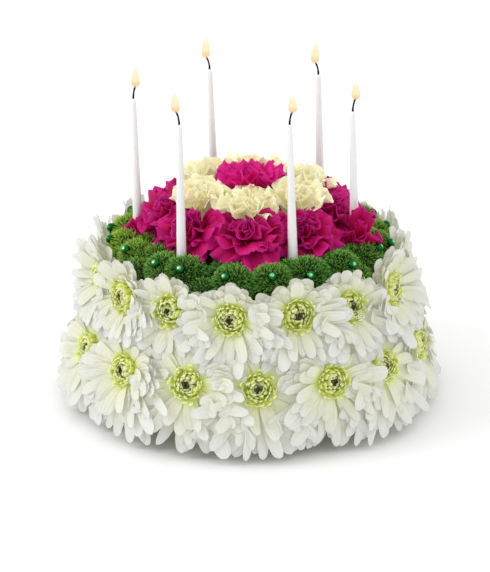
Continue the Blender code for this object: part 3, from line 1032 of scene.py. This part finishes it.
class FLOWERCAKE_OT_carnations(Operator):
    """Grows the pink and cream carnations on the dome"""

    bl_idname = "flowercake.carnations"
    bl_label = "Carnations"

    def execute(self, context):
        s = context.scene.flower_cake.carnation
        sepal = calyx_finish("carnation_calyx", s.sepal)
        # Each finish is painted darker at the petals' feet (painted shade) and paler at their edges and outer
        # petals (painted light); the centre flower uses plain pink as its painted shade.
        finishes = {
            "outer": frilled_petal_finish("pink_petal", s.pink_shade, s.pink, s.pink_lit_edge, 0.04),
            "cream": frilled_petal_finish("cream_petal", s.cream_shade, s.cream, s.cream_lit_edge, 0.17),
            "centre": frilled_petal_finish("bright_pink_petal", s.pink, s.pink_bright, s.pink_lit_edge, 0.12),
        }
        tops = {"outer": (s.pink_top, 0), "cream": (s.cream_top, s.cream_tilt)}
        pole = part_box("foam_core")[1].z - POLE_DEPTH
        stances = [Stance(name, pole) for name in solids("carnation_")]
        for place, stance in enumerate(stances):
            rng = seeded("carnation", place)
            own = kind(stance)
            walls = Walls()
            self.add_neighbours(walls, stance, stances)
            if own in tops:
                top, tilt = tops[own]
                walls.add(top * UP, (0, -tilt, 1), *OVER_TOP)
            stance.nod(*rng.normal(0, UNEVEN_NOD, 2))
            pieces = carnation(stance, s, HABITS[own], walls, rng, press_back)
            if own == "outer":
                self.add_collars(pieces, stance, stances, s, rng)
            name = stance.name.replace("carnation", "carnation_flower")
            slot = "cream_petal" if own == "cream" else "pink_petal"
            pieces.make(name, slot, [finishes[own], sepal], stance.name)
        return {"FINISHED"}

    @staticmethod
    def add_neighbours(walls, stance, stances):
        """Walls halfway to the flowers near this one; outer kinds keep back from inner ones."""
        own = stance.at(stance.height * 0.6)
        for other in stances:
            gap = other.at(stance.height * 0.6) - own
            if other is not stance and gap.length <= CARNATION_REACH:
                walls.add(own + gap / 2, gap, *OVERHANGS.get((kind(stance), kind(other)), EVEN_OVERHANG))

    @staticmethod
    def add_collars(pieces, stance, stances, s, rng):
        """Petals of the nearest pink flower that stand up in front of a candle's foot at the cake's sides."""
        outer = [other for other in stances if kind(other) == "outer"]
        for name, foot, _ in candle_lines():
            near = min(outer, key=lambda other: (other.foot - Vector(foot)).length)
            if near is not stance or abs(foot[1]) > SIDE_CANDLE:
                continue
            collar = Stance(name, stance.foot.z - COLLAR_POLE_DEPTH)
            origin = np.array([foot[0], foot[1], stance.foot.z - COLLAR_SINK])
            height = s.collar_height * (1 - foot[1] / COLLAR_TALLER)
            inward = 0.8 + foot[1] / COLLAR_INWARD
            front = Vector((0, -1, 0)) - Vector((foot[0], foot[1], 0)).normalized() * inward
            middle = math.atan2(front @ collar.side, front @ collar.up)
            count = s.collar
            share = np.linspace(-1, 1, count)
            short = np.arange(count) % 2
            fans = dict(
                phi=middle + share * 0.95 + rng.normal(0, 0.1, count),
                base_r=(4.4 + 1.5 * short) * MM,
                base_h=np.zeros(count),
                length=height * (1 - 0.4 * short) * (1 - 0.3 * share**2) * rng.uniform(0.9, 1.1, count),
                width=(s.fan_width * 0.45 + height * 0.25) * rng.uniform(0.9, 1.1, count),
                rise0=np.radians(92 - 12 * short),
                rise1=np.radians(76 - 28 * short + rng.normal(0, 6, count)),
                bend=rng.normal(0, 0.1, count),
                waves=rng.uniform(1.2, 2.2, count),
                ruffle=s.ruffle * rng.uniform(0.7, 1.1, count),
                layer=np.full(count, 0.5),
            )
            frilled_fans(pieces, collar, origin, fans, 0.0, rng, np.array)


def ring_places(kind, count, start, wobble, drop, sizes, spots):
    """Centre, outward direction and size of green flowers, uneven round the ring."""
    radii = np.hypot(*node_points("button_ring")[:, :2].T)
    middle = (radii.min() + radii.max()) / 2
    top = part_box("button_ring")[1].z
    rng = seeded(kind)
    for k in range(count):
        for inwards, below in spots:
            azimuth = math.tau * (k + start) / count + rng.normal(0, wobble)
            out = np.array([math.sin(azimuth), -math.cos(azimuth), 0])
            centre = out * (middle + inwards + rng.normal(0, 1.0) * MM)
            centre[2] = top - below + rng.normal(0, drop) * MM
            yield centre, out, rng.uniform(*sizes)


def button_places(s):
    return ring_places("button", s.buttons, 0.5, 0.03, 0.8, (0.93, 1.07), [(0, s.button_radius * 0.87)])


def filler_places(s):
    spots = [(-9 * MM, 9 * MM), (5.5 * MM, 15 * MM)]
    return ring_places("filler", s.buttons, 0, 0.04, 1.0, (0.9, 1.1), spots)


BUTTON_TILT = 38 * DEGREE
LUMP_SHARE = 0.80
FREE_SHARE = 1.45
LEAN = 0.34


class FLOWERCAKE_OT_buttons(Operator):
    """Grows the bristly green flowers on the shoulder"""

    bl_idname = "flowercake.buttons"
    bl_label = "Green buttons"

    def execute(self, context):
        s = context.scene.flower_cake.button
        pieces = Pieces()
        rng = seeded("bristle")
        large = button_places(s), s.button_radius, s.spikes
        small = filler_places(s), s.filler_radius, s.filler_spikes
        for places, radius, count in (large, small):
            for centre, out, size in places:
                self.add_button(pieces, centre, out, radius * size, count, s.spike, s.spike_width, rng)
        pieces.make("green_button_flowers", "green_button", [bristle_finish(s)], "button_ring")
        return {"FINISHED"}

    @staticmethod
    def add_button(pieces, centre, out, radius, count, spike, width, rng):
        """A dark lump, painted shade under the slim three-sided bristles all over its free side; riper and
        lighter at the cake's sides, most on the left where the key light falls, which is partly painted light.
        """
        side = np.array([-out[1], out[0], 0])
        ways = np.stack([out, side, UP])
        radii = np.array([1.0, 1.10, 1.0]) * radius
        # Stronger at the cake's sides and most on the left, where the key light falls: partly riper colour,
        # partly painted light.
        ripe = rng.uniform(0, 0.15) + (0.85 if out[0] < 0 else 0.3) * out[0] ** 6
        steps = np.linspace(-1, 1, 9)
        centres = centre + steps[:, None] * radii[2] * LUMP_SHARE * UP
        # The lump takes the darkest bristle colour: painted shade between the bristles.
        add_lathe(pieces, centres, np.cos(np.arcsin(steps)) + 1e-3, 16, along=0.0, tone=0.8, ripe=0)
        lump = pieces.points[-1]
        across = (lump - centre)[:, :2] * radii[:2] * LUMP_SHARE
        lump[:, :2] = centre[:2] + across @ ways[:2, :2]
        index = np.arange(count) + 0.5
        up = 1 - FREE_SHARE * index / count
        turn = index * GOLDEN_ANGLE + rng.normal(0, 0.2, count)
        level = np.sqrt(np.clip(1 - up**2, 0, 1))
        pole = out * math.sin(BUTTON_TILT) + UP * math.cos(BUTTON_TILT)
        face = np.stack([out * math.cos(BUTTON_TILT) - UP * math.sin(BUTTON_TILT), side, pole])
        normal = np.stack([level * np.cos(turn), level * np.sin(turn), up], 1) @ face
        foot = centre + ((normal @ ways.T) * (radii - spike * 0.8)) @ ways
        lean = normal + rng.normal(0, LEAN, (count, 3))
        lean /= np.linalg.norm(lean, axis=1, keepdims=True)
        length = spike * rng.uniform(0.6, 1.2, count)
        first = np.cross(lean, np.array([0.3, 0.5, 0.81]))
        first /= np.linalg.norm(first, axis=1, keepdims=True)
        second = np.cross(lean, first)
        turns = [math.tau * k / 3 for k in range(3)]
        corners = [foot + (first * math.cos(a) + second * math.sin(a)) * width / 2 for a in turns]
        points = np.stack([*corners, foot + lean * length[:, None]], 1)
        start = np.arange(count)[:, None] * 4
        triangles = np.concatenate([start + t for t in ((0, 1, 3), (1, 2, 3), (2, 0, 3), (0, 2, 1))])
        along = np.tile([0.0, 0, 0, 1.0], count)
        tone = np.repeat(rng.random(count), 4)
        pieces.add(points.reshape(-1, 3), [triangles], along=along, tone=tone, ripe=ripe)


# A pin's shank, from its point to the head that hides its end, and how deep the head sits.
SHANK = 9 * MM
SHANK_RADII = [0.3 * MM, 0.35 * MM]
LEAST_RADIUS = 0.02 * MM
HEAD_SINK = 0.4 * MM


class FLOWERCAKE_OT_pins(Operator):
    """Puts a pearl-headed pin into each green flower"""

    bl_idname = "flowercake.pins"
    bl_label = "Pearl pins"

    def execute(self, context):
        s = context.scene.flower_cake.button
        pieces = Pieces()
        rng = seeded("pin")
        for centre, out, size in button_places(s):
            side = np.array([-out[1], out[0], 0])
            rise = math.radians(rng.uniform(24, 44))
            way = out * math.cos(rise) + UP * math.sin(rise) + side * rng.normal(0, 0.2)
            way /= np.linalg.norm(way)
            head = centre + way * (s.button_radius * size - HEAD_SINK)
            self.add_pin(pieces, head, way, s.pearl_radius)
        pieces.make("pearl_pins", "pearl", [pearl_finish(s)])
        return {"FINISHED"}

    @staticmethod
    def add_pin(pieces, head, way, radius):
        """Round head and a short shank behind it."""
        steps = np.radians(np.linspace(-88, 90, 13))
        places = np.concatenate([[-SHANK, -radius * 1.02], np.sin(steps) * radius])
        radii = np.concatenate([SHANK_RADII, np.maximum(np.cos(steps) * radius, LEAST_RADIUS)])
        # share goes from 0 at the back to 1 at the front, where the pearl finish paints its highlight and, at
        # the back, its shade.
        share = np.concatenate([[0, 0], (np.sin(steps) + 1) / 2])
        add_lathe(pieces, head + places[:, None] * way, radii, 20, axis=way, along=share)


CANDLE_SHARES = np.concatenate([np.linspace(0, 0.94, 14), [0.965, 0.982, 0.993, 1.0]])
CANDLE_TIP = np.array([0.98, 0.90, 0.72, 0.42])
CANDLE_TAPER = 0.50
CANDLE_UNEVEN = 0.012


class FLOWERCAKE_OT_candles(Operator):
    """Turns the tapered candles"""

    bl_idname = "flowercake.candles"
    bl_label = "Candles"

    def execute(self, context):
        finish = wax_finish(context.scene.flower_cake.candle)
        for place, (name, foot, top) in enumerate(candle_lines()):
            rng = seeded("candle", place)
            points = node_points(name)
            base = np.ptp(points[points[:, 2] < foot[2] + 1 * MM][:, 0]) / 2
            taper = base * (1 - CANDLE_TAPER * CANDLE_SHARES)
            taper[-4:] *= CANDLE_TIP
            taper[1:-4] *= 1 + rng.normal(0, CANDLE_UNEVEN, len(taper) - 5)
            pieces = Pieces()
            add_lathe(pieces, foot + (top - foot) * CANDLE_SHARES[:, None], taper, 24)
            pieces.make(name.replace("candle", "taper_candle"), "candle_wax", [finish], name)
        return {"FINISHED"}


WICK_RADII = np.array([0.7, 0.66, 0.6, 0.56, 0.55, 0.6, 0.68, 0.6, 0.25]) * MM
WICK_SINK = 0.6 * MM


def wick_line(name):
    """Points along a wick, from its foot to its curled tip."""
    foot, tip = ends(name)
    share = np.linspace(0, 1, len(WICK_RADII))[:, None]
    line = foot + (tip - foot) * share
    line[:, :2] = foot[:2] + (tip - foot)[:2] * share**2
    return line


class FLOWERCAKE_OT_wicks(Operator):
    """Makes the curled burnt wicks"""

    bl_idname = "flowercake.wicks"
    bl_label = "Wicks"

    def execute(self, context):
        finish = char_finish()
        for name in solids("wick_"):
            line = wick_line(name)
            line[0, 2] -= WICK_SINK
            pieces = Pieces()
            add_lathe(pieces, line, WICK_RADII, 10, along=np.linspace(0, 1, len(line)))
            pieces.make(name.replace("wick", "burnt_wick"), "burnt_wick", [finish], name)
        return {"FINISHED"}


FLAME_SHARES = np.array([0, 0.04, 0.12, 0.22, 0.34, 0.46, 0.58, 0.70, 0.80, 0.88, 0.95, 1.0])
FLAME_SWELL = np.array([0.10, 0.45, 0.80, 0.98, 1.0, 0.90, 0.74, 0.55, 0.38, 0.24, 0.12, 0.02])
FLAME_SINK = 2.0 * MM
FLAME_BEND = 0.6 * MM


class FLOWERCAKE_OT_flames(Operator):
    """Lights the candles"""

    bl_idname = "flowercake.flames"
    bl_label = "Flames"

    def execute(self, context):
        s = context.scene.flower_cake.candle
        finish = flame_finish(s)
        for place, name in enumerate(solids("wick_")):
            rng = seeded("flame", place)
            height = s.flame_height * rng.uniform(0.85, 1.15)
            centres = wick_line(name)[-1] + UP * (FLAME_SHARES[:, None] * height - FLAME_SINK)
            centres[:, 0] += rng.normal(0, FLAME_BEND) * FLAME_SHARES**2
            pieces = Pieces()
            add_lathe(pieces, centres, FLAME_SWELL * s.flame_width / 2, 16, along=FLAME_SHARES)
            pieces.make(f"flame_{place + 1}", "flame", [finish])
        return {"FINISHED"}


FLOOR_REACH = 6.0
KEY_LIGHT = {"size": 0.9, "place": (-1.3, -0.35, 0.95)}
FILL_LIGHT = {"size": 1.1, "place": (0.95, -0.75, 0.8)}
LIGHT_AIM = Vector((0, 0, 0.1))


class FLOWERCAKE_OT_stage(Operator):
    """Sets the floor, the lights and the camera"""

    bl_idname = "flowercake.stage"
    bl_label = "Stage"

    def execute(self, context):
        s = context.scene.flower_cake.stage
        self.add_floor(s.floor)
        self.add_light("key_light", s.key, **KEY_LIGHT)
        self.add_light("fill_light", s.fill, **FILL_LIGHT)
        world = bpy.data.worlds.new("studio")
        world.use_nodes = True
        sky = world.node_tree.nodes["Background"].inputs
        sky["Color"].default_value = (1, 1, 1, 1)
        sky["Strength"].default_value = s.sky
        context.scene.world = world
        camera = link("camera", bpy.data.cameras.new("camera"))
        camera.data.lens = s.lens
        camera.location = (s.aside, -s.distance, s.rise)
        camera.rotation_euler = (math.pi / 2 - s.pitch, 0, 0)
        context.scene.camera = camera
        context.scene.view_settings.view_transform = "Standard"
        return {"FINISHED"}

    @staticmethod
    def add_floor(pale):
        mesh = bpy.data.meshes.new("floor")
        corners = [(x * FLOOR_REACH, y * FLOOR_REACH, 0) for x, y in ((-1, -1), (1, -1), (1, 1), (-1, 1))]
        mesh.from_pydata(corners, [], [(0, 1, 2, 3)])
        mesh.materials.append(mottled_finish("pale_floor", pale, scaled(pale, 0.98), 0.8, 3.0))
        link("floor", mesh)

    @staticmethod
    def add_light(name, power, size, place):
        light = link(name, bpy.data.lights.new(name, "AREA"))
        light.data.energy = power
        light.data.shape = "DISK"
        light.data.size = size
        light.location = place
        light.rotation_euler = (LIGHT_AIM - light.location).to_track_quat("-Z", "Y").to_euler()


GROUPS = (
    ChrysanthemumSettings, CarnationSettings, ButtonSettings, CandleSettings, StageSettings, CakeSettings,
)
OPERATORS = (
    FLOWERCAKE_OT_foam, FLOWERCAKE_OT_chrysanthemums, FLOWERCAKE_OT_carnations, FLOWERCAKE_OT_buttons,
    FLOWERCAKE_OT_pins, FLOWERCAKE_OT_candles, FLOWERCAKE_OT_wicks, FLOWERCAKE_OT_flames, FLOWERCAKE_OT_stage,
)


class FLOWERCAKE_PT_panel(Panel):
    """Lists the cake's pieces in the sidebar"""

    bl_idname = "FLOWERCAKE_PT_panel"
    bl_label = "Flower Cake"
    bl_space_type = "VIEW_3D"
    bl_region_type = "UI"
    bl_category = "Flower Cake"

    def draw(self, context):
        for operator in OPERATORS:
            self.layout.operator(operator.bl_idname)


def register():
    for cls in (*GROUPS, *OPERATORS, FLOWERCAKE_PT_panel):
        bpy.utils.register_class(cls)
    bpy.types.Scene.flower_cake = PointerProperty(type=CakeSettings)


def unregister():
    del bpy.types.Scene.flower_cake
    for cls in (FLOWERCAKE_PT_panel, *reversed(OPERATORS), *reversed(GROUPS)):
        bpy.utils.unregister_class(cls)


def main():
    register()
    for operator in OPERATORS:
        group, name = operator.bl_idname.split(".")
        getattr(getattr(bpy.ops, group), name)()


if __name__ == "__main__":
    main()
